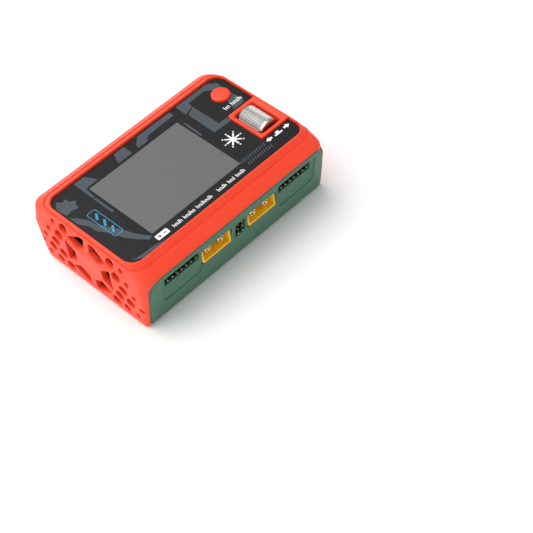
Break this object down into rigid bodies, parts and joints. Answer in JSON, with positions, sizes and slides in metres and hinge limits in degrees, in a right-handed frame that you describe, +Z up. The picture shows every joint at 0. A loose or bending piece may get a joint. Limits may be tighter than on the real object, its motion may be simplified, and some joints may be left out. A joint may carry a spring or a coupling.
{
  "type": "balance battery charger",
  "caption": "Low rectangular two-tone bench charger for model batteries: display, scroll wheel and button on top, plugs along the front, air openings in both ends.",
  "frame": {"origin": "on the table, under the middle of the case", "axes": "+X along the long side, to the right as seen from the plugs; +Y from the plugs towards the back; +Z up"},
  "size_m": [0.1028, 0.0694, 0.0346],
  "materials": {
    "red_plastic": "satin moulded ABS",
    "green_plastic": "satin moulded ABS",
    "film": "screen-printed polycarbonate film, fine matte grain",
    "display_glass": "grey liquid-crystal display, switched off",
    "yellow_nylon": "yellow glass-filled nylon",
    "gold": "gold-plated contact",
    "black_plastic": "black moulded nylon",
    "circuit_board": "green solder mask on fibreglass",
    "steel": "nickel-plated steel",
    "aluminium": "bare aluminium",
    "wheel_metal": "nickel-plated knurled aluminium",
    "rubber": "black rubber",
    "flex_film": "amber polyimide ribbon"
  },
  "bodies": {
    "root": {"balance_left_housing": "black_plastic", "balance_left_pins": "gold", "balance_right_housing": "black_plastic", "balance_right_pins": "gold", "bottom_shell": "green_plastic", "buzzer": "black_plastic", "capacitor_left": "aluminium", "capacitor_middle_left": "aluminium", "capacitor_right": "aluminium", "case_screw_back_left": "steel", "case_screw_back_right": "steel", "case_screw_front_left": "steel", "case_screw_front_right": "steel", "choke_back": "black_plastic", "choke_front": "black_plastic", "control_chip": "black_plastic", "exit_switch": "black_plastic", "fan_axle": "steel", "fan_frame": "black_plastic", "foot_back_left": "rubber", "foot_back_right": "rubber", "foot_front_left": "rubber", "foot_front_right": "rubber", "heat_sink": "aluminium", "input_housing": "yellow_nylon", "input_pin_left": "gold", "input_pin_right": "gold", "lcd_bracket": "black_plastic", "lcd_flex": "flex_film", "lcd_module": "display_glass", "main_board": "circuit_board", "output_left_housing": "yellow_nylon", "output_left_pin_left": "gold", "output_left_pin_right": "gold", "output_right_housing": "yellow_nylon", "output_right_pin_left": "gold", "output_right_pin_right": "gold", "signal_header_housing": "black_plastic", "signal_header_pins": "gold", "top_film": "film", "top_shell": "red_plastic", "ui_board": "circuit_board", "ui_spacer_back": "steel", "ui_spacer_front": "steel", "usb_shell": "steel", "usb_tongue": "black_plastic", "wheel_guide": "black_plastic", "wheel_switch": "black_plastic"},
    "exit_button": {"exit_button": "red_plastic"},
    "wheel_carrier": {"wheel_cradle": "black_plastic", "wheel_axle": "steel"},
    "scroll_wheel": {"scroll_wheel": "wheel_metal"},
    "fan_rotor": {"fan_rotor": "black_plastic"}
  },
  "joints": [
    {"name": "exit_press", "type": "slide", "parent": "root", "child": "exit_button", "axis": [0, 0, -1], "range_m": [0, 0.0005], "stiffness_N_per_m": 3000, "springref_m": -0.0001},
    {"name": "wheel_press", "type": "slide", "parent": "root", "child": "wheel_carrier", "axis": [0, 0, -1], "range_m": [0, 0.0005], "stiffness_N_per_m": 3000, "springref_m": -0.0001},
    {"name": "wheel_turn", "type": "hinge", "parent": "wheel_carrier", "child": "scroll_wheel", "pos_m": [0.0399, -0.0064, 0.0293], "axis": [0, 1, 0], "continuous": true},
    {"name": "fan_spin", "type": "hinge", "parent": "root", "child": "fan_rotor", "pos_m": [-0.0444, 0, 0.016], "axis": [1, 0, 0], "continuous": true}
  ]
}
